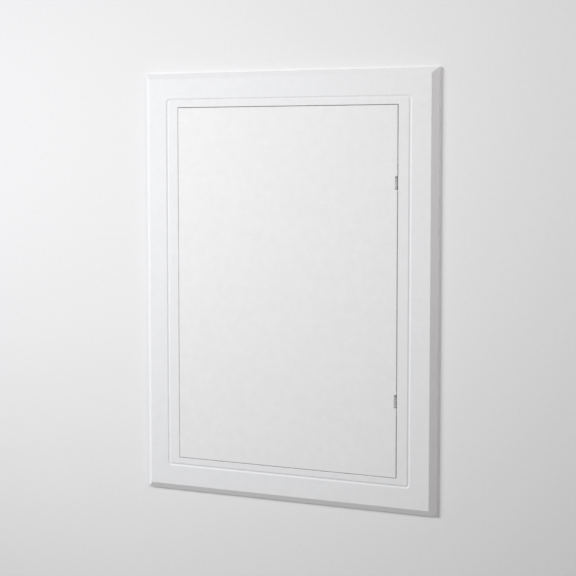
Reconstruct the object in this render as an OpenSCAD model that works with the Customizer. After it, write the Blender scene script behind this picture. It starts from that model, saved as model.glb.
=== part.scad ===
// Wall access panel: a moulded frame with a flush door on two hidden pins and a push latch.
// The panel is drawn lying flat (x right, y up, z towards the viewer, wall plane at z = 0) and stood upright last.

/* [Frame] */
// Width over the flange
frame_width = 300; // [240:1:500]
// Height over the flange
frame_height = 400; // [320:1:700]
// Height of the flange's face above the wall
flange_height = 6.5; // [5:0.1:9]
// Wall thickness of the flange
flange_skin = 2.2; // [1.8:0.1:2.6]
// Width of the sloping outer edge
bevel_width = 5.4; // [3.5:0.1:8]
// Height of the sloping outer edge
bevel_drop = 4.1; // [2:0.1:4.8]
// Radius between the sloping edge and the flange's side
outer_edge_radius = 0.8; // [0.4:0.1:3]
// Radius between the face and the sloping edge
face_edge_radius = 0.5; // [0.2:0.1:1.5]
// Width of the rim that touches the wall
land_width = 2.4; // [1.8:0.1:3]
// Radius of the flange's outer corners
outer_corner_radius = 2; // [1:0.1:4]
// Distance from the outer edge to the middle of the groove
groove_inset = 25.3; // [22:0.1:35]
// Width of the groove at the face
groove_width = 3; // [2:0.1:3.6]
// Width of the groove's floor
groove_floor = 0.6; // [0.3:0.1:1]
// Depth of the groove
groove_depth = 0.5; // [0.3:0.05:1]
// Radius of the groove's corners along its middle
groove_corner_radius = 2.6; // [2.2:0.1:6]
// Distance from the groove's middle to the door opening, left and right
border_side = 11.4; // [10:0.1:20]
// Distance from the groove's middle to the door opening, top and bottom
border_end = 6.9; // [6:0.1:20]
// Radius on the front edge of the door opening
lip_radius = 0.4; // [0.15:0.05:0.5]

/* [Collar and rebate] */
// Distance from the flange's outer edge to the collar's outside
collar_inset = 25; // [22:0.5:26.5]
// Depth of the collar behind the wall plane
collar_depth = 34; // [34:1:60]
// Wall thickness of the collar
collar_wall = 2; // [1.6:0.1:3]
// Outer corner radius of the collar
collar_corner_radius = 4; // [3.2:0.1:8]
// Lead-in chamfer round the collar's rear edge
collar_lead_in = 1; // [0.4:0.1:1.5]
// Diameter of the fixing holes in the collar
fixing_hole_d = 4.5; // [3.5:0.1:6]
// Depth of the fixing holes behind the wall plane
fixing_hole_depth = 20; // [17:0.5:26]
// Distance between the two holes in each side wall of the collar
fixing_spacing_side = 220; // [120:1:260]
// Distance between the two holes in each end wall of the collar
fixing_spacing_end = 150; // [60:1:180]
// Wall thickness of the rebate round the door
rebate_wall = 1.8; // [1.4:0.1:2.4]
// How far the stop ledge reaches in behind the door
ledge_width = 4.5; // [3.5:0.1:8]
// Thickness of the stop ledge
ledge_thickness = 2.2; // [1.6:0.1:3]
// Thickness of the frame's ribs
frame_rib_thickness = 1.6; // [1:0.1:2]
// Largest distance between two ribs of the frame
frame_rib_pitch = 55; // [30:1:90]
// Gap between the flange's ribs and the wall
frame_rib_foot = 0.5; // [0.2:0.1:1]

/* [Door] */
// Gap round the door on its free sides
door_gap = 0.45; // [0.4:0.05:0.9]
// Gap between door and frame on the hinge side
hinge_gap = 0.8; // [0.75:0.05:1.2]
// Thickness of the door's face
door_skin = 2.2; // [2:0.1:2.6]
// Depth of the door over its rim
door_depth = 8; // [7:0.1:9]
// Wall thickness of the door's rim
rim_wall = 1.8; // [1.4:0.1:2.4]
// Radius on the front edge of the door
door_edge_radius = 0.4; // [0.2:0.05:0.6]
// Height of the ribs on the door's back
door_rib_height = 3.6; // [2:0.1:4.2]
// Thickness of the ribs on the door's back
door_rib_thickness = 1.6; // [1:0.1:2]
// Number of ribs that run up the door
door_ribs_up = 2; // [2:2:6]
// Number of ribs that run across the door
door_ribs_across = 4; // [2:2:8]

/* [Hinge] */
// Distance between the two hinges
hinge_spacing = 196; // [120:1:220]
// Distance from the door's edge to the hinge axis
hinge_inset = 3.5; // [3.3:0.1:4]
// Depth of the hinge axis behind the face
hinge_depth = 3.5; // [3.4:0.1:3.7]
// Height of the notch in the door's edge
notch_height = 12; // [9:0.1:16]
// Width of the notch in the door's edge
notch_width = 2.1; // [1.8:0.1:3]
// Diameter of the hinge pins
pin_d = 2.5; // [2:0.1:2.6]
// Diameter of the frame's hinge knuckles
knuckle_d = 4.4; // [4:0.1:4.6]
// Length of each pin boss on the door
pin_boss_length = 8; // [5:0.1:12]
// Floor under the pin in the lower boss
pin_floor = 1; // [0.6:0.1:2]
// Thickness of the arm that carries a knuckle
arm_thickness = 3.5; // [2.5:0.1:3.6]

/* [Seal] */
// Thickness of the foam strips on the stop ledge
seal_thickness = 3.2; // [2.6:0.1:4]
// Width of the foam strips
seal_width = 3.8; // [2:0.1:4]

/* [Latch] */
// Distance from the door's free edge to the latch axis
latch_inset = 11.7; // [10:0.1:20]
// Travel of the plunger when the door is pressed
latch_push = 3; // [2:0.1:3]
// Travel of the plunger when the latch lets go
latch_throw = 5; // [3:0.1:5.5]
// Diameter of the plunger
plunger_d = 7; // [6.6:0.1:7.2]
// Length of the plunger in front of its shoulder
plunger_length = 20; // [19:0.1:21]
// Diameter of the plunger's shoulder
shoulder_d = 8.4; // [8:0.1:8.6]
// Thickness of the plunger's shoulder
shoulder_thickness = 2; // [1.4:0.1:2.4]
// Diameter of the magnet
magnet_d = 5; // [4:0.1:5.4]
// Length of the magnet
magnet_length = 4; // [2:0.1:6]
// Outer diameter of the barrel
barrel_d = 12; // [11.6:0.1:14]
// Bore of the barrel
barrel_bore = 9; // [9:0.1:9.6]
// Length of the barrel behind its ears
barrel_length = 23; // [22:0.1:23.2]
// Diameter of the neck that passes through the seat
neck_d = 10; // [9.4:0.1:11]
// Thickness of the barrel's ears
ear_thickness = 2; // [1.5:0.1:2.2]
// Distance between the two screws of the barrel
latch_screw_spacing = 26; // [24:0.5:28]
// Thickness of the rear cap
cap_thickness = 2; // [1.5:0.1:2.2]
// Diameter of the spring's wire
spring_wire_d = 0.6; // [0.4:0.05:0.7]
// Number of turns of the spring
spring_turns = 6; // [4:1:7]
// Diameter of the follower's wire
follower_wire_d = 0.8; // [0.6:0.05:0.9]
// Length of the follower between its pivot and its tip
follower_length = 10; // [9.5:0.1:10.5]
// Sideways travel of the follower's tip
follower_shift = 1.5; // [1.2:0.05:1.6]
// Thickness of the strike plate
strike_thickness = 1.2; // [0.8:0.1:1.6]
// Width of the strike plate
strike_width = 12; // [10:0.1:14]
// Height of the strike plate
strike_height = 30; // [28:0.5:40]
// Distance between the two screws of the strike plate
strike_screw_spacing = 20; // [18:0.5:24]
// Height of the pad under the strike plate, which stands just proud of the ribs
strike_pad = 2.7; // [1:0.1:3]

/* [Screws and fits] */
// Shank diameter of the small screws
screw_d = 2.2; // [1.8:0.1:2.4]
// Head diameter of the small screws
screw_head_d = 4.4; // [3.6:0.1:5]
// Head height of the small screws
screw_head_height = 1.5; // [1:0.1:1.8]
// Length of the strike screws under the head
strike_screw_length = 3.6; // [2.6:0.1:4]
// Radial clearance of a shaft that turns or slides
running_fit = 0.05; // [0.02:0.01:0.1]
// Radial clearance of a pin or screw in its seat
seat_fit = 0.02; // [0.01:0.01:0.05]
// Clearance between moving pieces
free_gap = 0.3; // [0.25:0.05:0.4]
// Gap between the magnet and the strike plate
contact_gap = 0.1; // [0.05:0.05:0.3]

/* [Hidden] */
$fn = 64;
abs_white = "#f1f1f0";
zinc_steel = "#b9bcc0";
latch_grey = "#d9dadb";
magnet_dark = "#4b4d52";
foam_dark = "#3a3a3c";

// Overlap where walls of one moulding meet, and the run-out of a cut past a face
weld = 0.4;
run_out = 1;

// Frame outline
flange_back = flange_height - flange_skin;
bevel_slope = bevel_drop / bevel_width;
side_height = flange_height - bevel_drop;
side_straight = 0.2;
outer_edge_r = min(outer_edge_radius, (side_height - side_straight) * tan(45 + atan(bevel_slope) / 2));
edge_steps = 6;
bevel_wall_rise = flange_skin * sqrt(1 + pow(bevel_slope, 2));
land_height = max(0.2, side_height + land_width * bevel_slope - bevel_wall_rise);
pocket_inset = (flange_back + bevel_wall_rise - side_height) / bevel_slope;
collar_width = frame_width - 2 * collar_inset;
collar_height = frame_height - 2 * collar_inset;
groove_x = frame_width / 2 - groove_inset;
groove_y = frame_height / 2 - groove_inset;
opening_x = groove_x - border_side;
opening_y = groove_y - border_end;
opening_width = 2 * opening_x;
opening_height = 2 * opening_y;
collar_inner_x = collar_width / 2 - collar_wall;
collar_inner_y = collar_height / 2 - collar_wall;

// Door outline
door_left = door_gap - opening_x;
door_right = opening_x - hinge_gap;
door_width = door_right - door_left;
door_height = opening_height - 2 * door_gap;
door_middle_x = (door_left + door_right) / 2;
door_back = flange_height - door_skin;
rim_back = flange_height - door_depth;
rib_back = door_back - door_rib_height;

// Hinge axis, and the room that the door's edge needs round it
hinge_x = door_right - hinge_inset;
hinge_z = flange_height - hinge_depth;
knuckle_r = knuckle_d / 2;
knuckle_height = notch_height - 2 * free_gap;
edge_reach = norm([hinge_inset - door_edge_radius, hinge_depth - door_edge_radius]) + door_edge_radius;
relief_r = edge_reach + free_gap;
hinge_wall_x = hinge_x + max(relief_r, norm([hinge_inset, hinge_z - rim_back])) + free_gap;
boss_r = knuckle_r + free_gap;
arm_front = hinge_z - knuckle_r;
arm_back = arm_front - arm_thickness;
pin_bottom = -notch_height / 2 - pin_boss_length + pin_floor + seat_fit;
pin_length = notch_height / 2 + pin_boss_length - pin_bottom;
pin_chamfer = 0.3;

// Stop ledge and seal
ledge_front = min(rim_back - free_gap - seal_thickness, arm_back - weld);
ledge_back = ledge_front - ledge_thickness;
rebate_left = -opening_x;

// Latch stations along its axis, from the door to the rear
latch_x = door_left + latch_inset;
strike_front = door_back - strike_pad;
strike_back = strike_front - strike_thickness;
plunger_tip = strike_back - contact_gap;
shoulder_front = plunger_tip - plunger_length;
shoulder_back = shoulder_front - shoulder_thickness;
ear_back = ledge_back - ear_thickness;
front_wall_back = ledge_back - 1.5;
barrel_back = ledge_back - barrel_length;
cap_back = barrel_back - cap_thickness;
cap_skirt = 2;
cap_skirt_wall = 0.5;
tail_length = 2;
neck_clearance = 0.1;
ear_r = screw_head_d / 2 + 1.4;
seat_margin = 5;
seat_half = latch_screw_spacing / 2 + ear_r + frame_rib_thickness + free_gap;
seat_right = latch_x + barrel_d / 2 + seat_margin;
gusset_depth = 12;
gusset_nose = 1.5;

// Follower wire and its track
follower_r = follower_wire_d / 2;
follower_leg_x = barrel_d / 2 + free_gap + follower_r;
follower_tip = front_wall_back - follower_r - 1;
follower_pivot = follower_tip - follower_length;
track_depth = 1.1;
track_r = follower_r + 0.2;
track_floor_x = plunger_d / 2 - track_depth;
follower_end_x = track_floor_x + free_gap;
window_half = follower_shift + follower_r + free_gap;

// Spring
spring_front = shoulder_back - spring_wire_d / 2 - seat_fit;
spring_rear = barrel_back + spring_wire_d / 2 + seat_fit;
spring_r = barrel_bore / 2 - running_fit - cap_skirt_wall - 0.2 - spring_wire_d / 2;
spring_sides = 8;
spring_steps = 16 * spring_turns;

module upright() {
    rotate([90, 0, 0]) children();
}

function unit(v) = v / norm(v);

// Points along an arc from one angle to another
function arc(centre, radius, from, to) = [for (i = [0 : edge_steps])
    let (angle = from + (to - from) * i / edge_steps)
    centre + radius * [cos(angle), sin(angle)]];

// Points that round the corner between its two neighbours to a radius
function rounded_corner(before, corner, after, radius) = let (
        to_before = unit(before - corner),
        to_after = unit(after - corner),
        half = acos(to_before * to_after) / 2,
        centre = corner + unit(to_before + to_after) * radius / sin(half),
        start = corner + to_before * radius / tan(half) - centre,
        from = atan2(start[1], start[0]),
        turn = sign(cross(to_after, to_before)) * (180 - 2 * half))
    arc(centre, radius, from, from + turn);

// Closed outline of [x, y, radius] corners, where a radius of 0 stays sharp
function rounded_outline(corners) = let (count = len(corners), flat = [for (c = corners) [c[0], c[1]]])
    [for (i = [0 : count - 1]) each corners[i][2] > 0
        ? rounded_corner(flat[(i + count - 1) % count], flat[i], flat[(i + 1) % count], corners[i][2])
        : [flat[i]]];

// Section of a slab that is the same on both sides: edge holds [inset, z, radius] corners from back to front
module edge_outline(size, edge) {
    right = [for (corner = edge) [size / 2 - corner[0], corner[1], corner[2]]];
    left = [for (i = [len(edge) - 1 : -1 : 0]) [edge[i][0] - size / 2, edge[i][1], edge[i][2]]];
    polygon(rounded_outline(concat(right, left)));
}

// Rectangular slab whose edge section runs round all four sides with mitred corners
module mitred_slab(width, height, edge) {
    span = width + height;
    intersection() {
        rotate([90, 0, 0]) linear_extrude(height = span, center = true) edge_outline(width, edge);
        rotate([90, 0, 90]) linear_extrude(height = span, center = true) edge_outline(height, edge);
    }
}

module rounded_rectangle(width, height, radius) {
    square([width - 2 * radius, height], center = true);
    square([width, height - 2 * radius], center = true);
    for (x = [-1, 1], y = [-1, 1]) {
        translate([x * (width / 2 - radius), y * (height / 2 - radius)]) circle(radius);
    }
}

// Flat piece between two levels
module layer(z_low, z_high) {
    translate([0, 0, z_low]) linear_extrude(height = z_high - z_low) children();
}

// Box given by its two corners
module block(low, high) {
    translate(low) cube(high - low);
}

// Section in x and z, drawn along y about the given middle
module along_y(middle, length) {
    translate([0, middle, 0]) rotate([90, 0, 0]) linear_extrude(height = length, center = true) children();
}

module rod_along_y(x, z, y_low, y_high, radius) {
    translate([x, y_low, z]) rotate([-90, 0, 0]) cylinder(h = y_high - y_low, r = radius);
}

module groove_section() {
    polygon([[-groove_width / 2, run_out], [-groove_width / 2, 0], [-groove_floor / 2, -groove_depth],
        [groove_floor / 2, -groove_depth], [groove_width / 2, 0], [groove_width / 2, run_out]]);
}

// Groove round the flange: straight runs and round corners
module groove() {
    straight_x = 2 * (groove_x - groove_corner_radius);
    straight_y = 2 * (groove_y - groove_corner_radius);
    translate([0, 0, flange_height]) {
        for (side = [-1, 1]) {
            translate([side * groove_x, 0, 0]) along_y(0, straight_y) groove_section();
            translate([0, side * groove_y, 0]) {
                rotate([90, 0, 90]) linear_extrude(height = straight_x, center = true) groove_section();
            }
        }
        for (x = [-1, 1], y = [-1, 1]) {
            start = x > 0 ? (y > 0 ? 0 : 270) : (y > 0 ? 90 : 180);
            translate([x * straight_x / 2, y * straight_y / 2, 0]) {
                rotate(start) rotate_extrude(angle = 90) translate([groove_corner_radius, 0]) groove_section();
            }
        }
    }
}

// Opening for the door, which flares at the face to leave a round lip
module door_opening() {
    lip = arc([-lip_radius, flange_height - lip_radius], lip_radius, 0, 90);
    mitred_slab(opening_width, opening_height, concat([[0, -run_out, 0]], [for (point = lip) concat(point, 0)],
        [[-lip_radius, flange_height + run_out, 0]]));
}

// Bevelled flange with its hollow back, groove and door opening
module flange() {
    difference() {
        intersection() {
            mitred_slab(frame_width, frame_height,
                [[0, 0, 0], [0, side_height, outer_edge_r], [bevel_width, flange_height, face_edge_radius]]);
            layer(-run_out, flange_height + run_out) {
                rounded_rectangle(frame_width, frame_height, outer_corner_radius);
            }
        }
        mitred_slab(frame_width, frame_height,
            [[land_width, -run_out, 0], [land_width, land_height, 0], [pocket_inset, flange_back, 0]]);
        door_opening();
        rod_along_y(hinge_x, hinge_z, -opening_y, opening_y, relief_r);
        groove();
    }
}

// Collar that enters the wall, with the empty fixing holes
module collar() {
    difference() {
        intersection() {
            layer(-collar_depth, flange_back + weld) {
                difference() {
                    rounded_rectangle(collar_width, collar_height, collar_corner_radius);
                    rounded_rectangle(2 * collar_inner_x, 2 * collar_inner_y, collar_corner_radius - collar_wall);
                }
            }
            mitred_slab(collar_width, collar_height,
                [[collar_lead_in, -collar_depth, 0], [0, collar_lead_in - collar_depth, 0], [0, flange_height, 0]]);
        }
        for (side = [-1, 1]) {
            translate([0, side * fixing_spacing_side / 2, -fixing_hole_depth]) {
                rotate([0, 90, 0]) cylinder(h = frame_width, d = fixing_hole_d, center = true);
            }
            translate([side * fixing_spacing_end / 2, 0, -fixing_hole_depth]) {
                rotate([90, 0, 0]) cylinder(h = frame_height, d = fixing_hole_d, center = true);
            }
        }
    }
}

// Walls of the rebate that the door lies in, with the stop ledge behind them
module rebate() {
    outer_low = [rebate_left - rebate_wall, -opening_y - rebate_wall];
    outer_high = [hinge_wall_x + rebate_wall, opening_y + rebate_wall];
    inner_low = [rebate_left, -opening_y];
    inner_high = [hinge_wall_x, opening_y];
    layer(ledge_back, flange_back + weld) {
        difference() {
            translate(outer_low) square(outer_high - outer_low);
            translate(inner_low) square(inner_high - inner_low);
        }
    }
    layer(ledge_back, ledge_front) {
        difference() {
            translate(outer_low) square(outer_high - outer_low);
            square([opening_width - 2 * ledge_width, opening_height - 2 * ledge_width], center = true);
        }
    }
}

// Evenly spaced places along a length, no further apart than the pitch
function spaced(length, pitch) = let (bays = ceil(length / pitch))
    [for (i = [1 : bays - 1]) -length / 2 + i * length / bays];

// Ribs across the hollow back: from the rebate to the collar, and from the collar to the outer rim
module frame_ribs() {
    half = frame_rib_thickness / 2;
    rim_x = frame_width / 2 - land_width - weld;
    rim_y = frame_height / 2 - land_width - weld;
    for (y = spaced(opening_height, frame_rib_pitch)) {
        block([-collar_inner_x - weld, y - half, ledge_back], [rebate_left - weld, y + half, flange_back + weld]);
        block([hinge_wall_x + weld, y - half, ledge_back], [collar_inner_x + weld, y + half, flange_back + weld]);
        for (side = [0, 1]) {
            mirror([side, 0, 0]) {
                block([collar_inner_x + weld, y - half, frame_rib_foot], [rim_x, y + half, flange_back + weld]);
            }
        }
    }
    for (x = spaced(opening_width, frame_rib_pitch), side = [0, 1]) {
        mirror([0, side, 0]) {
            block([x - half, opening_y + weld, ledge_back], [x + half, collar_inner_y + weld, flange_back + weld]);
            block([x - half, collar_inner_y + weld, frame_rib_foot], [x + half, rim_y, flange_back + weld]);
        }
    }
}

// Arm with a knuckle that reaches through a notch of the door to the hinge axis
module knuckle_arm(y) {
    stem_left = hinge_x - knuckle_r;
    stem_width = knuckle_d - 2 * free_gap;
    difference() {
        along_y(y, knuckle_height) {
            translate([hinge_x, hinge_z]) circle(knuckle_r);
            translate([stem_left, arm_back]) square([stem_width, hinge_z - arm_back]);
            translate([stem_left, arm_back]) square([hinge_wall_x + weld - stem_left, arm_thickness]);
            translate([opening_x - ledge_width, ledge_front - weld]) {
                square([hinge_wall_x + weld - opening_x + ledge_width, arm_back - ledge_front + 2 * weld]);
            }
        }
        rod_along_y(hinge_x, hinge_z, y - notch_height, y + notch_height, pin_d / 2 + running_fit);
    }
}

// Seat for the latch: a wider stretch of the ledge on two gussets
module latch_seat() {
    layer(ledge_back, ledge_front) {
        difference() {
            translate([rebate_left - weld, -seat_half]) square([seat_right - rebate_left + weld, 2 * seat_half]);
            translate([latch_x, 0]) circle(neck_d / 2 + neck_clearance);
            for (side = [-1, 1]) {
                translate([latch_x, side * latch_screw_spacing / 2]) circle(screw_d / 2 + seat_fit);
            }
        }
    }
    for (side = [-1, 1]) {
        along_y(side * (seat_half - frame_rib_thickness / 2), frame_rib_thickness) {
            polygon([[-collar_inner_x - weld, ledge_back + weld], [seat_right, ledge_back + weld],
                [seat_right, ledge_back - gusset_nose], [rebate_left, ledge_back - gusset_depth],
                [-collar_inner_x - weld, ledge_back - gusset_depth]]);
        }
    }
}

module frame() {
    color(abs_white) upright() {
        flange();
        collar();
        rebate();
        frame_ribs();
        for (side = [-1, 1]) knuckle_arm(side * hinge_spacing / 2);
        latch_seat();
    }
}

module door_rim() {
    layer(rim_back, door_back + weld) {
        translate([door_middle_x, 0]) difference() {
            square([door_width, door_height], center = true);
            square([door_width - 2 * rim_wall, door_height - 2 * rim_wall], center = true);
        }
    }
}

module door_ribs() {
    half = door_rib_thickness / 2;
    reach_x = door_width / 2 - rim_wall + weld;
    reach_y = door_height / 2 - rim_wall + weld;
    translate([door_middle_x, 0, 0]) {
        for (i = [1 : door_ribs_up]) {
            x = -reach_x + i * 2 * reach_x / (door_ribs_up + 1);
            block([x - half, -reach_y, rib_back], [x + half, reach_y, door_back + weld]);
        }
        for (i = [1 : door_ribs_across]) {
            y = -reach_y + i * 2 * reach_y / (door_ribs_across + 1);
            block([-reach_x, y - half, rib_back], [reach_x, y + half, door_back + weld]);
        }
    }
}

// Bosses above and below a notch that hold the hinge pin
module pin_bosses(y) {
    for (side = [-1, 1]) {
        along_y(y + side * (notch_height + pin_boss_length) / 2, pin_boss_length) {
            translate([hinge_x, hinge_z]) circle(boss_r);
            translate([hinge_x - boss_r, hinge_z]) square([boss_r + hinge_inset, door_back + weld - hinge_z]);
            translate([hinge_x, hinge_z - boss_r]) square([hinge_inset, boss_r]);
        }
    }
}

// Room for the frame's knuckle and the bore of its pin
module hinge_cuts(y) {
    pocket_r = knuckle_r + free_gap;
    half = notch_height / 2;
    block([door_right - notch_width, y - half, rim_back - run_out],
        [door_right + run_out, y + half, flange_height + run_out]);
    rod_along_y(hinge_x, hinge_z, y - half, y + half, pocket_r);
    block([hinge_x - pocket_r, y - half, rim_back - run_out], [door_right + run_out, y + half, hinge_z]);
    rod_along_y(hinge_x, hinge_z, y + pin_bottom - seat_fit, y + half + pin_boss_length + run_out,
        pin_d / 2 + seat_fit);
}

// Pad that the strike plate is screwed to
module door_strike_pad() {
    layer(strike_front, door_back + weld) {
        translate([latch_x, 0]) square([strike_width, strike_height], center = true);
    }
}

module strike_screw_places() {
    for (side = [-1, 1]) translate([latch_x, side * strike_screw_spacing / 2, strike_back]) children();
}

module door() {
    color(abs_white) upright() difference() {
        union() {
            translate([door_middle_x, 0, 0]) {
                mitred_slab(door_width, door_height, [[0, door_back, 0], [0, flange_height, door_edge_radius]]);
            }
            door_rim();
            door_ribs();
            door_strike_pad();
            for (side = [-1, 1]) pin_bosses(side * hinge_spacing / 2);
        }
        for (side = [-1, 1]) hinge_cuts(side * hinge_spacing / 2);
        strike_screw_places() cylinder(h = strike_screw_length + seat_fit, r = screw_d / 2 + seat_fit);
    }
}

module hinge_pin(y) {
    r = pin_d / 2;
    color(zinc_steel) upright() translate([hinge_x, y + pin_bottom, hinge_z]) rotate([-90, 0, 0]) rotate_extrude() {
        polygon([[0, 0], [r - pin_chamfer, 0], [r, pin_chamfer], [r, pin_length - pin_chamfer],
            [r - pin_chamfer, pin_length], [0, pin_length]]);
    }
}

module hinge_pin_upper() {
    hinge_pin(hinge_spacing / 2);
}

module hinge_pin_lower() {
    hinge_pin(-hinge_spacing / 2);
}

module on_latch_axis() {
    upright() translate([latch_x, 0, 0]) children();
}

// Round piece of the latch between two levels
module latch_disc(z_low, z_high, diameter) {
    layer(z_low, z_high) circle(d = diameter);
}

module latch_body() {
    color(latch_grey) on_latch_axis() difference() {
        union() {
            latch_disc(ledge_back, ledge_front, neck_d);
            latch_disc(barrel_back, ledge_back, barrel_d);
            layer(ear_back, ledge_back) {
                square([2 * ear_r, latch_screw_spacing], center = true);
                for (side = [-1, 1]) translate([0, side * latch_screw_spacing / 2]) circle(ear_r);
            }
        }
        latch_disc(front_wall_back - run_out, ledge_front + run_out, plunger_d + 2 * running_fit);
        latch_disc(barrel_back - run_out, front_wall_back, barrel_bore);
        for (side = [-1, 1]) {
            translate([0, side * latch_screw_spacing / 2, 0]) {
                latch_disc(ear_back - run_out, ledge_back + run_out, screw_d + 2 * neck_clearance);
            }
        }
        block([plunger_d / 2, -window_half, follower_tip - follower_r - free_gap],
            [barrel_d, window_half, follower_tip + follower_r + free_gap]);
        translate([plunger_d / 2, 0, follower_pivot]) {
            rotate([0, 90, 0]) cylinder(h = barrel_d, r = follower_r + running_fit);
        }
    }
}

module latch_cap() {
    skirt_d = barrel_bore - 2 * running_fit;
    color(latch_grey) on_latch_axis() {
        latch_disc(cap_back, barrel_back, barrel_d);
        difference() {
            latch_disc(barrel_back - weld, barrel_back + cap_skirt, skirt_d);
            latch_disc(barrel_back, barrel_back + cap_skirt + run_out, skirt_d - 2 * cap_skirt_wall);
        }
    }
}

// Latching track in the plunger's flank, as [y, z] places that the follower's tip runs through
module latch_track() {
    held = [0, follower_tip];
    tripped = [-follower_shift, follower_tip + latch_push];
    let_go = [-follower_shift, follower_tip - latch_throw];
    stops = [held, tripped, let_go];
    translate([track_floor_x, 0, 0]) rotate([90, 0, 90]) linear_extrude(height = barrel_d) {
        for (place = stops) translate(place) circle(track_r);
        for (i = [0, 1]) {
            run = stops[i + 1] - stops[i];
            translate(stops[i]) rotate(atan2(run[1], run[0])) translate([0, -track_r]) {
                square([norm(run), 2 * track_r]);
            }
        }
    }
}

// Plunger with the magnet's pocket at its tip and the latching track in its flank
module latch_plunger() {
    color(abs_white) on_latch_axis() difference() {
        union() {
            latch_disc(shoulder_back, plunger_tip, plunger_d);
            latch_disc(shoulder_back, shoulder_front, shoulder_d);
            latch_disc(shoulder_back - tail_length, shoulder_back, 2 * (spring_r - spring_wire_d / 2 - free_gap));
        }
        latch_disc(plunger_tip - magnet_length, plunger_tip + run_out, magnet_d + 2 * seat_fit);
        latch_track();
    }
}

module latch_magnet() {
    color(magnet_dark) on_latch_axis() latch_disc(plunger_tip - magnet_length, plunger_tip, magnet_d);
}

function spring_turn(i) = 360 * spring_turns * i / spring_steps;
function spring_z(i) = spring_front + (spring_rear - spring_front) * i / spring_steps;
function spring_ring(i) = [for (j = [0 : spring_sides - 1])
    let (a = 360 * j / spring_sides, out = spring_r + spring_wire_d / 2 * cos(a))
    [out * cos(spring_turn(i)), out * sin(spring_turn(i)), spring_z(i) + spring_wire_d / 2 * sin(a)]];

// Compression spring: one wire swept along a helix
module latch_spring() {
    rings = [for (i = [0 : spring_steps]) each spring_ring(i)];
    last = spring_steps * spring_sides;
    sides = [for (i = [0 : spring_steps - 1], j = [0 : spring_sides - 1])
        let (a = i * spring_sides + j, b = i * spring_sides + (j + 1) % spring_sides)
        each [[a, b, b + spring_sides], [a, b + spring_sides, a + spring_sides]]];
    start_cap = [for (j = [spring_sides - 1 : -1 : 0]) j];
    end_cap = [for (j = [0 : spring_sides - 1]) last + j];
    color(zinc_steel) on_latch_axis() polyhedron(points = rings, faces = concat(sides, [start_cap, end_cap]));
}

// Wire that is bent in at both ends: one end turns in the barrel, the other runs in the track
module latch_follower() {
    pivot_end_x = barrel_bore / 2 + running_fit;
    color(zinc_steel) on_latch_axis() {
        for (z = [follower_pivot, follower_tip]) translate([follower_leg_x, 0, z]) sphere(follower_r);
        translate([follower_leg_x, 0, follower_pivot]) cylinder(h = follower_length, r = follower_r);
        translate([pivot_end_x, 0, follower_pivot]) rotate([0, 90, 0]) {
            cylinder(h = follower_leg_x - pivot_end_x, r = follower_r);
        }
        translate([follower_end_x, 0, follower_tip]) rotate([0, 90, 0]) {
            cylinder(h = follower_leg_x - follower_end_x, r = follower_r);
        }
    }
}

// Pan-head screw that points along +z, with its head's seat at z = 0
module pan_screw(length) {
    head_r = screw_head_d / 2;
    dome_r = (pow(head_r, 2) + pow(screw_head_height, 2)) / (2 * screw_head_height);
    slot_width = 0.6;
    slot_length = 0.6 * screw_head_d;
    difference() {
        union() {
            cylinder(h = length, r = screw_d / 2);
            intersection() {
                translate([0, 0, dome_r - screw_head_height]) sphere(dome_r);
                translate([0, 0, -screw_head_height]) cylinder(h = screw_head_height, r = head_r);
            }
        }
        for (turn = [0, 90]) {
            rotate(turn) translate([0, 0, -screw_head_height]) {
                cube([slot_length, slot_width, screw_head_height], center = true);
            }
        }
    }
}

module latch_screws() {
    color(zinc_steel) on_latch_axis() for (side = [-1, 1]) {
        translate([0, side * latch_screw_spacing / 2, ear_back]) pan_screw(ledge_front - ear_back);
    }
}

module strike_plate() {
    color(zinc_steel) upright() difference() {
        layer(strike_back, strike_front) {
            translate([latch_x, 0]) rounded_rectangle(strike_width, strike_height, strike_thickness);
        }
        strike_screw_places() translate([0, 0, -run_out]) {
            cylinder(h = strike_thickness + 2 * run_out, r = screw_d / 2 + neck_clearance);
        }
    }
}

module strike_screws() {
    color(zinc_steel) upright() strike_screw_places() pan_screw(strike_screw_length);
}

// Foam strip on the ledge at the top or bottom of the door
module end_seal(side) {
    color(foam_dark) upright() mirror([0, side, 0]) {
        block([rebate_left + free_gap, opening_y - free_gap - seal_width, ledge_front],
            [hinge_x - boss_r - free_gap, opening_y - free_gap, ledge_front + seal_thickness]);
    }
}

module seal_top() {
    end_seal(0);
}

module seal_bottom() {
    end_seal(1);
}

module seal_latch_side() {
    reach = opening_y - 2 * free_gap - seal_width;
    color(foam_dark) upright() {
        block([rebate_left + free_gap, -reach, ledge_front],
            [rebate_left + free_gap + seal_width, reach, ledge_front + seal_thickness]);
    }
}

frame();
door();
hinge_pin_upper();
hinge_pin_lower();
latch_body();
latch_cap();
latch_plunger();
latch_magnet();
latch_spring();
latch_follower();
latch_screws();
strike_plate();
strike_screws();
seal_top();
seal_bottom();
seal_latch_side();
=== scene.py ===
"""Studio scene of a white wall access panel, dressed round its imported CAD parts."""

import logging
import math
from collections.abc import Callable
from dataclasses import dataclass
from enum import Enum

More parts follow.
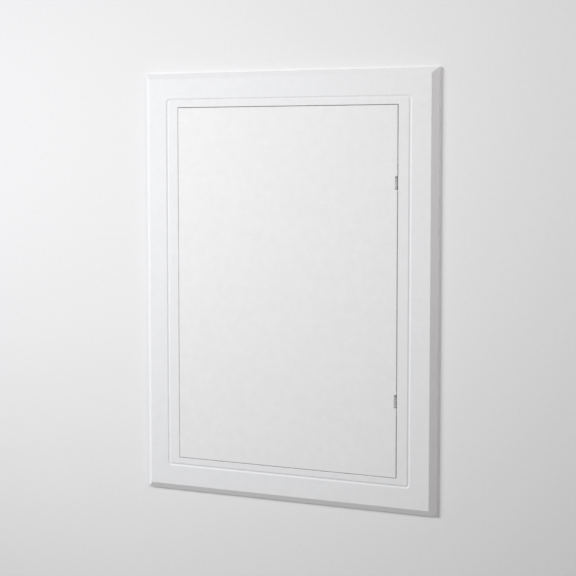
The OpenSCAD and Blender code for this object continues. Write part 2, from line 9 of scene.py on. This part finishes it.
import bmesh
import bpy
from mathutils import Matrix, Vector


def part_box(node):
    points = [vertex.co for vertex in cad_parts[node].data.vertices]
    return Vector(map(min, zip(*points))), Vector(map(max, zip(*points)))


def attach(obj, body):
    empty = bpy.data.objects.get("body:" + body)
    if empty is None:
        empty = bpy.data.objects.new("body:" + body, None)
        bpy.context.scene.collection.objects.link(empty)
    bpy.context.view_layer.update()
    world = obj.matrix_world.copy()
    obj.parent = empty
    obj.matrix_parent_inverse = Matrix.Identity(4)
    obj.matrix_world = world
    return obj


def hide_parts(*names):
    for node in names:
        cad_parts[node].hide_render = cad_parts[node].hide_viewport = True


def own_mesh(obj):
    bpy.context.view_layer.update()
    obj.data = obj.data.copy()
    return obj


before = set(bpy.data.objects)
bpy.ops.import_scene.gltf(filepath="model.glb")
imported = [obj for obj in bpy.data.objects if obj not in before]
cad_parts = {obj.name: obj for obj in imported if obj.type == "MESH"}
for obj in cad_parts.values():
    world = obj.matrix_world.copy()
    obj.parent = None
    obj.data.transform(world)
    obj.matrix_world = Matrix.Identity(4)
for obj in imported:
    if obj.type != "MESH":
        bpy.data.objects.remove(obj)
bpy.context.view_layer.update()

LOG = logging.getLogger("access_panel")
MM = 0.001
# Lengths that differ by less than this count as the same.
SAME_MM = 0.01
# Turn that stands a plane upright, with its face towards -Y.
UPRIGHT = (math.pi / 2, 0, 0)

# The sRGB curve: a straight foot up to the knee, then a power.
SRGB_KNEE = 0.04045
SRGB_FOOT = 12.92
SRGB_OFFSET = 0.055
SRGB_POWER = 2.4

# Sockets that have no name of their own: of a colour Mix, of a Mix Shader and of a Math node.
MIX_FACTOR, MIX_DARK, MIX_LIGHT, MIX_RESULT = 0, 6, 7, 2
SHADER_FACTOR, SHADER_FIRST, SHADER_SECOND = 0, 1, 2
MATH_FIRST, MATH_SECOND = 0, 1
# Full strength of a bump, a metal or a white surround.
FULL = 1.0

Colour = tuple[float, float, float, float]
Point = tuple[float, float, float]


class Body(Enum):
    """Body of the panel that new pieces ride on."""

    FRAME = "frame"


class Slot(Enum):
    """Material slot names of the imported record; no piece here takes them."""

    STEEL = "zinc_steel"
    FOAM = "seal_foam"


def linear(hex_colour: str) -> Colour:
    """Turns an sRGB hex colour into linear values.

    Args:
        hex_colour: Colour such as "#f0f0f0".

    Returns:
        Linear red, green, blue and an alpha of 1.
    """
    parts = [int(hex_colour[i:i + 2], 16) / 255 for i in (1, 3, 5)]
    red, green, blue = (
        part / SRGB_FOOT if part <= SRGB_KNEE
        else ((part + SRGB_OFFSET) / (1 + SRGB_OFFSET)) ** SRGB_POWER
        for part in parts)
    return red, green, blue, 1.0


def per_mm(size_mm: float) -> float:
    """Texture scale, in metres, for features that are this many millimetres across."""
    return 1 / (size_mm * MM)


def add_node(tree: bpy.types.NodeTree, kind: str, inputs: dict[str | int, object] | None = None,
             **settings: object) -> bpy.types.Node:
    """Adds a shader node with its settings, values and links.

    Args:
        tree: Node tree that takes the node.
        kind: Type name of the node.
        inputs: Values for the input sockets; an output socket is linked instead of set.
        **settings: Properties of the node itself.

    Returns:
        The new node.
    """
    node = tree.nodes.new(kind)
    for name, value in settings.items():
        setattr(node, name, value)
    for name, value in (inputs or {}).items():
        if isinstance(value, bpy.types.NodeSocket):
            tree.links.new(value, node.inputs[name])
        else:
            node.inputs[name].default_value = value
    return node


def empty_material(name: str) -> tuple[bpy.types.Material, bpy.types.NodeTree]:
    """Makes a material without nodes.

    Args:
        name: Name of the material.

    Returns:
        The material and its empty node tree.
    """
    material = bpy.data.materials.new(name)
    material.use_nodes = True
    material.node_tree.nodes.clear()
    return material, material.node_tree


@dataclass(frozen=True)
class MouldedPlastic:
    """Injection-moulded plastic: satin, finely grained by an eroded mould and faintly cloudy."""

    name: str
    light: str
    dark: str
    ior: float
    roughness: float
    roughness_spread: float
    grain_mm: float
    grain_height_mm: float
    grain_detail: float = 2.0
    grain_gain: float = 0.6
    cloud_mm: float = 9.0
    cloud_detail: float = 4.0
    cloud_gain: float = 0.75
    edge_mm: float = 0.25
    edge_samples: int = 4

    def material(self) -> bpy.types.Material:
        """Builds the plastic's material.

        Returns:
            The new material.
        """
        material, tree = empty_material(self.name)
        place = add_node(tree, "ShaderNodeTexCoord").outputs["Object"]
        cloud = add_node(tree, "ShaderNodeTexNoise",
                         {"Vector": place, "Scale": per_mm(self.cloud_mm),
                          "Detail": self.cloud_detail, "Roughness": self.cloud_gain})
        grain = add_node(tree, "ShaderNodeTexNoise",
                         {"Vector": place, "Scale": per_mm(self.grain_mm),
                          "Detail": self.grain_detail, "Roughness": self.grain_gain})
        colour = add_node(tree, "ShaderNodeMix",
                          {MIX_FACTOR: cloud.outputs["Fac"], MIX_DARK: linear(self.dark),
                           MIX_LIGHT: linear(self.light)}, data_type="RGBA")
        shine = add_node(tree, "ShaderNodeMapRange",
                         {"Value": grain.outputs["Fac"],
                          "To Min": self.roughness - self.roughness_spread,
                          "To Max": self.roughness + self.roughness_spread})
        edges = add_node(tree, "ShaderNodeBevel", {"Radius": self.edge_mm * MM},
                         samples=self.edge_samples)
        relief = add_node(tree, "ShaderNodeBump",
                          {"Height": grain.outputs["Fac"], "Strength": FULL,
                           "Distance": self.grain_height_mm * MM,
                           "Normal": edges.outputs["Normal"]})
        shader = add_node(tree, "ShaderNodeBsdfPrincipled",
                          {"Base Color": colour.outputs[MIX_RESULT],
                           "Roughness": shine.outputs["Result"],
                           "Normal": relief.outputs["Normal"], "IOR": self.ior})
        add_node(tree, "ShaderNodeOutputMaterial", {"Surface": shader.outputs["BSDF"]})
        return material


@dataclass(frozen=True)
class PlatedMetal:
    """Plated steel: a bright skin with slight cloudy changes of tint and fine drawing marks."""

    name: str
    light: str
    dark: str
    roughness: float
    roughness_spread: float
    cloud_mm: float
    mark_mm: float
    mark_height_mm: float
    cloud_detail: float = 4.0
    mark_detail: float = 3.0

    def material(self) -> bpy.types.Material:
        """Builds the metal's material.

        Returns:
            The new material.
        """
        material, tree = empty_material(self.name)
        place = add_node(tree, "ShaderNodeTexCoord").outputs["Object"]
        cloud = add_node(tree, "ShaderNodeTexNoise",
                         {"Vector": place, "Scale": per_mm(self.cloud_mm),
                          "Detail": self.cloud_detail})
        marks = add_node(tree, "ShaderNodeTexNoise",
                         {"Vector": place, "Scale": per_mm(self.mark_mm),
                          "Detail": self.mark_detail})
        colour = add_node(tree, "ShaderNodeMix",
                          {MIX_FACTOR: cloud.outputs["Fac"], MIX_DARK: linear(self.dark),
                           MIX_LIGHT: linear(self.light)}, data_type="RGBA")
        shine = add_node(tree, "ShaderNodeMapRange",
                         {"Value": cloud.outputs["Fac"],
                          "To Min": self.roughness - self.roughness_spread,
                          "To Max": self.roughness + self.roughness_spread})
        relief = add_node(tree, "ShaderNodeBump",
                          {"Height": marks.outputs["Fac"], "Strength": FULL,
                           "Distance": self.mark_height_mm * MM})
        shader = add_node(tree, "ShaderNodeBsdfPrincipled",
                          {"Base Color": colour.outputs[MIX_RESULT], "Metallic": FULL,
                           "Roughness": shine.outputs["Result"],
                           "Normal": relief.outputs["Normal"]})
        add_node(tree, "ShaderNodeOutputMaterial", {"Surface": shader.outputs["BSDF"]})
        return material


@dataclass(frozen=True)
class CellularFoam:
    """Closed-cell foam: dark and dull, with the small round cells that the knife opens; each
    cell's pit is painted darker as shade.
    """

    name: str
    light: str
    dark: str
    ior: float
    roughness: float
    cell_mm: float
    cell_depth_mm: float

    def material(self) -> bpy.types.Material:
        """Builds the foam's material.

        Returns:
            The new material.
        """
        material, tree = empty_material(self.name)
        place = add_node(tree, "ShaderNodeTexCoord").outputs["Object"]
        cells_and_shade = add_node(tree, "ShaderNodeTexVoronoi",
                         {"Vector": place, "Scale": per_mm(self.cell_mm)})
        # Painted shade: the colour is darkest at each cell's centre, where the bump sinks into a
        # pit.
        colour = add_node(tree, "ShaderNodeMix",
                          {MIX_FACTOR: cells_and_shade.outputs["Distance"], MIX_DARK: linear(self.dark),
                           MIX_LIGHT: linear(self.light)}, data_type="RGBA")
        relief = add_node(tree, "ShaderNodeBump",
                          {"Height": cells_and_shade.outputs["Distance"], "Strength": FULL,
                           "Distance": self.cell_depth_mm * MM})
        shader = add_node(tree, "ShaderNodeBsdfPrincipled",
                          {"Base Color": colour.outputs[MIX_RESULT],
                           "Roughness": self.roughness,
                           "Normal": relief.outputs["Normal"], "IOR": self.ior})
        add_node(tree, "ShaderNodeOutputMaterial", {"Surface": shader.outputs["BSDF"]})
        return material


@dataclass(frozen=True)
class PaintedPlaster:
    """Matt plaster of the stage: nearly smooth, with a low stipple whose hollows are painted a
    shade darker; clear from behind.
    """

    name: str
    light: str
    dark: str
    roughness: float
    stipple_mm: float
    stipple_height_mm: float
    stipple_detail: float = 3.0

    def material(self) -> bpy.types.Material:
        """Builds the plaster's material.

        Returns:
            The new material.
        """
        material, tree = empty_material(self.name)
        place = add_node(tree, "ShaderNodeTexCoord").outputs["Object"]
        stipple_and_shade = add_node(tree, "ShaderNodeTexNoise",
                           {"Vector": place, "Scale": per_mm(self.stipple_mm),
                            "Detail": self.stipple_detail})
        # Painted shade: the stipple's low spots take the darker colour.
        colour = add_node(tree, "ShaderNodeMix",
                          {MIX_FACTOR: stipple_and_shade.outputs["Fac"], MIX_DARK: linear(self.dark),
                           MIX_LIGHT: linear(self.light)}, data_type="RGBA")
        relief = add_node(tree, "ShaderNodeBump",
                          {"Height": stipple_and_shade.outputs["Fac"], "Strength": FULL,
                           "Distance": self.stipple_height_mm * MM})
        paint = add_node(tree, "ShaderNodeBsdfPrincipled",
                         {"Base Color": colour.outputs[MIX_RESULT],
                          "Roughness": self.roughness, "Normal": relief.outputs["Normal"]})
        clear = add_node(tree, "ShaderNodeBsdfTransparent")
        behind = add_node(tree, "ShaderNodeNewGeometry").outputs["Backfacing"]
        sides = add_node(tree, "ShaderNodeMixShader",
                         {SHADER_FACTOR: behind, SHADER_FIRST: paint.outputs["BSDF"],
                          SHADER_SECOND: clear.outputs["BSDF"]})
        add_node(tree, "ShaderNodeOutputMaterial", {"Surface": sides.outputs["Shader"]})
        return material


# Moulded ABS is an opaque, faintly cool white; its satin grain makes highlights a soft sheen.
# The eroded grain is too fine to show at this distance, so it is drawn at about 2 mm.
FRAME_ABS = MouldedPlastic(
    name="white_moulded_abs_frame", light="#f4f4f6", dark="#e9e9eb", ior=1.54,
    roughness=0.56, roughness_spread=0.06, grain_mm=2.4, grain_height_mm=0.1)
# The door is of the same ABS, a little smoother and more neutral than the frame.
DOOR_ABS = MouldedPlastic(
    name="white_moulded_abs_door", light="#f6f5f6", dark="#e9e9ea", ior=1.54,
    roughness=0.52, roughness_spread=0.05, grain_mm=2.2, grain_height_mm=0.1)
# Moulded acetal is denser and slightly waxy, so it is smoother and glossier than the ABS.
LATCH_ACETAL = MouldedPlastic(
    name="grey_moulded_acetal", light="#d3d5d8", dark="#cbcdd0", ior=1.48,
    roughness=0.36, roughness_spread=0.05, grain_mm=0.8, grain_height_mm=0.01)
# Acetal without pigment is a warm, milky white.
PLUNGER_ACETAL = MouldedPlastic(
    name="natural_moulded_acetal", light="#ecebe6", dark="#e4e3dd", ior=1.48,
    roughness=0.34, roughness_spread=0.05, grain_mm=0.8, grain_height_mm=0.01)
# Zinc plate is bright with a bluish cast and a cloudy, slightly uneven shine.
ZINC_STEEL = PlatedMetal(
    name="bright_zinc_plated_steel", light="#d2d6dc", dark="#b7bcc4",
    roughness=0.3, roughness_spread=0.1, cloud_mm=3.0, mark_mm=0.6, mark_height_mm=0.004)
# Nickel plate is smoother and warmer than zinc.
NICKEL = PlatedMetal(
    name="nickel_plated_magnet", light="#cfccc4", dark="#bdbab2",
    roughness=0.2, roughness_spread=0.05, cloud_mm=4.0, mark_mm=0.8, mark_height_mm=0.002)
# Closed-cell foam has cut cells about 0.5 mm wide; their pits are painted darker as shade.
FOAM = CellularFoam(
    name="closed_cell_foam", light="#4a4a4d", dark="#2b2b2d", ior=1.48,
    roughness=0.92, cell_mm=0.5, cell_depth_mm=0.12)
# Rolled wall paint has a soft stipple of a few millimetres; its hollows are painted a shade
# darker.
WALL_PAINT = PaintedPlaster(
    name="matt_wall_paint", light="#f5f5f6", dark="#f1f0f2",
    roughness=0.9, stipple_mm=4.0, stipple_height_mm=0.02)
# The grey sheet at the back of the collar is painted shade for the dark cavity behind the wall; it
# is rougher than the paint.
CAVITY_SHADE_SHEET = PaintedPlaster(
    name="painted_cavity_shade", light="#bdbcb9", dark="#b2b1ae",
    roughness=0.95, stipple_mm=6.0, stipple_height_mm=0.1)


def deselect_all() -> None:
    """Leaves edit mode and deselects every object."""
    if bpy.context.mode != "OBJECT":
        bpy.ops.object.mode_set(mode="OBJECT")
    bpy.ops.object.select_all(action="DESELECT")


def pick(piece: bpy.types.Object) -> None:
    """Makes a piece the only selected and the active object.

    Args:
        piece: Object to pick.
    """
    deselect_all()
    piece.select_set(True)
    bpy.context.view_layer.objects.active = piece


def settle(piece: bpy.types.Object) -> None:
    """Moves a piece's place, turn and scale into its mesh.

    Args:
        piece: Object to settle.
    """
    pick(piece)
    bpy.ops.object.transform_apply(location=True, rotation=True, scale=True)


def upright_plane(name: str, width: float, height: float, depth: float) -> bpy.types.Object:
    """Adds a plane that is parallel to the wall and faces the room.

    Args:
        name: Name of the plane.
        width: Size along X.
        height: Size along Z.
        depth: Place along Y.

    Returns:
        The plane, picked and settled.
    """
    deselect_all()
    bpy.ops.mesh.primitive_plane_add(size=1, location=(0, depth, 0), rotation=UPRIGHT)
    plane = bpy.context.object
    plane.name = name
    plane.scale = (width, height, 1)
    settle(plane)
    return plane


def near(value: float, target: float) -> bool:
    """Tells whether two lengths are the same."""
    return abs(value - target) < SAME_MM * MM


def along(start: Vector, end: Vector, axis: int) -> bool:
    """Tells whether an edge runs along one axis."""
    return all(near(start[other], end[other]) for other in range(3) if other != axis)


def pick_edges(piece: bpy.types.Object, wanted: Callable[[Vector, Vector], bool]) -> None:
    """Selects the edges whose two ends pass a test.

    Args:
        piece: Object in edit mode.
        wanted: Test of an edge's two end points.
    """
    bpy.ops.mesh.select_mode(type="EDGE")
    bpy.ops.mesh.select_all(action="DESELECT")
    mesh = bmesh.from_edit_mesh(piece.data)
    for edge in mesh.edges:
        edge.select_set(wanted(edge.verts[0].co, edge.verts[1].co))
    bmesh.update_edit_mesh(piece.data)


def dress(node: str, finish: bpy.types.Material) -> None:
    """Gives a CAD node's object its finish.

    Args:
        node: Name of the CAD node.
        finish: Material for its slots.
    """
    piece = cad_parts[node]
    piece.data.materials.clear()
    piece.data.materials.append(finish)
    LOG.info("%s: %s", node, finish.name)


@dataclass
class WallFrame:
    """Bevelled frame that lies on the wall."""

    node: str = "frame"
    finish: MouldedPlastic = FRAME_ABS

    def build(self) -> None:
        """Dresses the frame."""
        dress(self.node, self.finish.material())


@dataclass
class FlushDoor:
    """Door with its ribs, pin bosses and strike."""

    node: str = "door"
    finish: MouldedPlastic = DOOR_ABS
    steel_nodes: tuple[str, ...] = (
        "strike_plate", "strike_screws", "hinge_pin_upper", "hinge_pin_lower")

    def build(self, steel: bpy.types.Material) -> None:
        """Dresses the door and its steel pieces.

        Args:
            steel: Material of the plated pieces.
        """
        dress(self.node, self.finish.material())
        for node in self.steel_nodes:
            dress(node, steel)


@dataclass
class PushLatch:
    """Magnetic push latch: barrel, cap, plunger, magnet, spring, follower wire and screws."""

    shell_nodes: tuple[str, ...] = ("latch_body", "latch_cap")
    steel_nodes: tuple[str, ...] = ("latch_follower", "latch_screws")
    plunger_node: str = "latch_plunger"
    magnet_node: str = "latch_magnet"
    spring_node: str = "latch_spring"
    travel_mm: float = 3.0
    merge_mm: float = 0.005
    smooth_deg: float = 60.0

    def build(self, steel: bpy.types.Material) -> None:
        """Dresses the latch and makes its coil.

        Args:
            steel: Material of the plated pieces.
        """
        shell = LATCH_ACETAL.material()
        for node in self.shell_nodes:
            dress(node, shell)
        for node in self.steel_nodes:
            dress(node, steel)
        dress(self.plunger_node, PLUNGER_ACETAL.material())
        dress(self.magnet_node, NICKEL.material())
        self.coil(steel)

    def coil(self, steel: bpy.types.Material) -> None:
        """Makes the spring a merged, smoothly shaded piece that rides on the frame.

        Args:
            steel: Material of the wire.
        """
        coil = bpy.data.objects.new("latch_coil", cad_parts[self.spring_node].data.copy())
        bpy.context.scene.collection.objects.link(coil)
        pick(coil)
        bpy.ops.object.mode_set(mode="EDIT")
        bpy.ops.mesh.select_all(action="SELECT")
        bpy.ops.mesh.remove_doubles(threshold=self.merge_mm * MM)
        bpy.ops.mesh.normals_make_consistent(inside=False)
        bpy.ops.object.mode_set(mode="OBJECT")
        bpy.ops.object.shade_smooth_by_angle(angle=math.radians(self.smooth_deg))
        coil.data.materials.clear()
        coil.data.materials.append(steel)
        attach(coil, Body.FRAME.value)
        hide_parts(self.spring_node)
        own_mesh(coil)
        LOG.info("%s: %s", coil.name, steel.name)


@dataclass
class FoamSeals:
    """Foam strips on the stop ledge: knife-cut, with rounded fronts and a slightly uneven skin."""

    nodes: tuple[str, ...] = ("seal_top", "seal_bottom", "seal_latch_side")
    ring_mm: float = 4.0
    front_edge_mm: float = 1.1
    front_steps: int = 5
    back_edge_mm: float = 0.25
    back_steps: int = 2
    end_edge_mm: float = 0.2
    end_steps: int = 1
    smooth_deg: float = 40.0
    wave_mm: float = 0.16
    wave_size_mm: float = 7.0

    def build(self) -> None:
        """Models, dresses and places the strips."""
        foam = FOAM.material()
        for node in self.nodes:
            strip = self.strip(node)
            strip.data.materials.append(foam)
            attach(strip, Body.FRAME.value)
            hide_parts(node)
            LOG.info("%s: %s", strip.name, foam.name)

    def strip(self, node: str) -> bpy.types.Object:
        """Models one strip in its CAD node's space.

        Args:
            node: Name of the CAD strip.

        Returns:
            The new strip.
        """
        low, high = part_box(node)
        size = high - low
        run = max(range(3), key=lambda axis: size[axis])
        deselect_all()
        bpy.ops.mesh.primitive_cube_add(size=1, location=(low + high) / 2)
        strip = bpy.context.object
        strip.name = node.replace("seal", "foam_strip")
        strip.scale = size
        settle(strip)
        bpy.ops.object.mode_set(mode="EDIT")
        pick_edges(strip, lambda a, b: along(a, b, run))
        bpy.ops.mesh.subdivide(number_cuts=round(size[run] / (self.ring_mm * MM)))
        for place, edge_mm, steps in ((low.y, self.front_edge_mm, self.front_steps),
                                      (high.y, self.back_edge_mm, self.back_steps)):
            pick_edges(strip, lambda a, b: along(a, b, run) and near(a.y, place))
            bpy.ops.mesh.bevel(offset=edge_mm * MM, segments=steps, affect="EDGES")
        for place in (low[run], high[run]):
            pick_edges(strip, lambda a, b: near(a[run], place) and near(b[run], place))
            bpy.ops.mesh.bevel(offset=self.end_edge_mm * MM, segments=self.end_steps,
                               affect="EDGES")
        bpy.ops.object.mode_set(mode="OBJECT")
        self.wave(strip)
        bpy.ops.object.shade_smooth_by_angle(angle=math.radians(self.smooth_deg))
        return strip

    def wave(self, strip: bpy.types.Object) -> None:
        """Sinks the strip's skin unevenly by a small depth.

        Args:
            strip: Active strip.
        """
        clouds = bpy.data.textures.new("foam_wave", "CLOUDS")
        clouds.noise_scale = self.wave_size_mm * MM
        sink = strip.modifiers.new("wave", "DISPLACE")
        sink.texture = clouds
        sink.texture_coords = "LOCAL"
        sink.strength = self.wave_mm * MM
        # At a middle of 1 the texture only sinks the skin, so the strip stays in its space.
        sink.mid_level = 1.0
        bpy.ops.object.modifier_apply(modifier=sink.name)


@dataclass
class PlasterWall:
    """Painted wall; it ends just inside the flange's rim, so the flange's back shows."""

    cutout_mm: tuple[float, float] = (298.8, 398.8)
    reach: float = 1.6
    behind_mm: float = 0.1

    def build(self) -> None:
        """Models the wall."""
        width, height = (side * MM for side in self.cutout_mm)
        wall = upright_plane("wall", width + 2 * self.reach, height + 2 * self.reach,
                             self.behind_mm * MM)
        bpy.ops.object.mode_set(mode="EDIT")
        bpy.ops.mesh.select_all(action="SELECT")
        bpy.ops.mesh.inset(thickness=self.reach)
        bpy.ops.mesh.delete(type="FACE")
        bpy.ops.object.mode_set(mode="OBJECT")
        wall.data.materials.append(WALL_PAINT.material())
        LOG.info("%s: %s", wall.name, WALL_PAINT.name)


@dataclass
class WallSpace:
    """Grey sheet at the back of the collar, lit by the lamps, whose grey is painted shade for the
    dark cavity behind the wall; it throws no shadow and lights nothing.
    """

    depth_mm: float = 33.6
    width_mm: float = 245.5
    height_mm: float = 345.5

    def build(self) -> None:
        """Models the rear face and hides it from shadow, diffuse and glossy rays."""
        rear = upright_plane("wall_space", self.width_mm * MM, self.height_mm * MM,
                             self.depth_mm * MM)
        # Painted shade: a grey sheet stands in for the dark cavity behind the collar.
        rear.data.materials.append(CAVITY_SHADE_SHEET.material())
        rear.visible_shadow = False
        rear.visible_diffuse = False
        rear.visible_glossy = False
        LOG.info("%s: %s", rear.name, CAVITY_SHADE_SHEET.name)


@dataclass(frozen=True)
class Lamp:
    """Square soft lamp that faces a point; a grid on its front can narrow the beam."""

    name: str
    place: Point
    size: float
    power: float
    beam_deg: float = 180.0
    aim: Point = (0.0, 0.0, 0.0)
    colour: str = "#ffffff"

    def build(self) -> None:
        """Hangs the lamp."""
        data = bpy.data.lights.new(self.name, "AREA")
        data.shape = "SQUARE"
        data.size = self.size
        data.energy = self.power
        data.spread = math.radians(self.beam_deg)
        data.color = linear(self.colour)[:3]
        lamp = bpy.data.objects.new(self.name, data)
        bpy.context.scene.collection.objects.link(lamp)
        lamp.location = self.place
        lamp.visible_camera = False
        facing = Vector(self.aim) - Vector(self.place)
        lamp.rotation_euler = facing.to_track_quat("-Z", "Y").to_euler()


@dataclass
class Studio:
    """Soft key from the left, a weaker light from the upper right and a pale surround.

    A lamp behind the wall lights the panel's back.
    """

    lamps: tuple[Lamp, ...] = (
        Lamp("key", place=(-1.0, -0.9, 0.28), size=0.5, power=4.84, beam_deg=101.2,
             aim=(0.38, 0.0, -0.01), colour="#fafcfe"),
        Lamp("front", place=(0.9, -0.88, 0.72), size=0.5, power=0.92, beam_deg=61.7,
             aim=(-0.33, 0.0, -0.02), colour="#fffdfa"),
        Lamp("back", place=(1.3, 1.2, 0.7), size=0.9, power=26.0),
    )
    surround: str = "#f4f4f4"
    glow: float = 0.238
    glow_colour: str = "#f4f2ee"

    def build(self) -> None:
        """Sets the lamps and the world."""
        for lamp in self.lamps:
            lamp.build()
        world = bpy.data.worlds.new("studio")
        bpy.context.scene.world = world
        world.use_nodes = True
        tree = world.node_tree
        tree.nodes.clear()
        # The camera, gloss and glass see the pale surround; all else gets the softer glow.
        path = add_node(tree, "ShaderNodeLightPath")
        gloss = add_node(tree, "ShaderNodeMath",
                         {MATH_FIRST: path.outputs["Is Camera Ray"],
                          MATH_SECOND: path.outputs["Is Glossy Ray"]}, operation="MAXIMUM")
        seen = add_node(tree, "ShaderNodeMath",
                        {MATH_FIRST: gloss.outputs["Value"],
                         MATH_SECOND: path.outputs["Is Transmission Ray"]}, operation="MAXIMUM")
        soft = add_node(tree, "ShaderNodeBackground",
                        {"Color": linear(self.glow_colour), "Strength": self.glow})
        pale = add_node(tree, "ShaderNodeBackground",
                        {"Color": linear(self.surround), "Strength": FULL})
        mixed = add_node(tree, "ShaderNodeMixShader",
                         {SHADER_FACTOR: seen.outputs["Value"],
                          SHADER_FIRST: soft.outputs["Background"],
                          SHADER_SECOND: pale.outputs["Background"]})
        add_node(tree, "ShaderNodeOutputWorld", {"Surface": mixed.outputs["Shader"]})
        bpy.context.scene.view_settings.view_transform = "Standard"


@dataclass
class ViewCamera:
    """Camera to the right of the panel and a little above its middle."""

    place: Point = (0.66671, -1.32102, 0.12282)
    look: Point = (-0.44868, 0.88985, -0.08275)
    lens_mm: float = 100.0
    sensor_mm: float = 36.0

    def build(self) -> None:
        """Places the camera."""
        data = bpy.data.cameras.new("camera")
        data.lens = self.lens_mm
        data.sensor_width = self.sensor_mm
        camera = bpy.data.objects.new("camera", data)
        bpy.context.scene.collection.objects.link(camera)
        camera.location = self.place
        camera.rotation_euler = Vector(self.look).to_track_quat("-Z", "Y").to_euler()
        bpy.context.scene.camera = camera


def main() -> None:
    """Builds the panel's sub-assemblies, the wall, the light and the camera."""
    logging.basicConfig(level=logging.INFO, format="%(name)s %(message)s")
    steel = ZINC_STEEL.material()
    WallFrame().build()
    FlushDoor().build(steel)
    PushLatch().build(steel)
    FoamSeals().build()
    PlasterWall().build()
    WallSpace().build()
    Studio().build()
    ViewCamera().build()


if __name__ == "__main__":
    main()
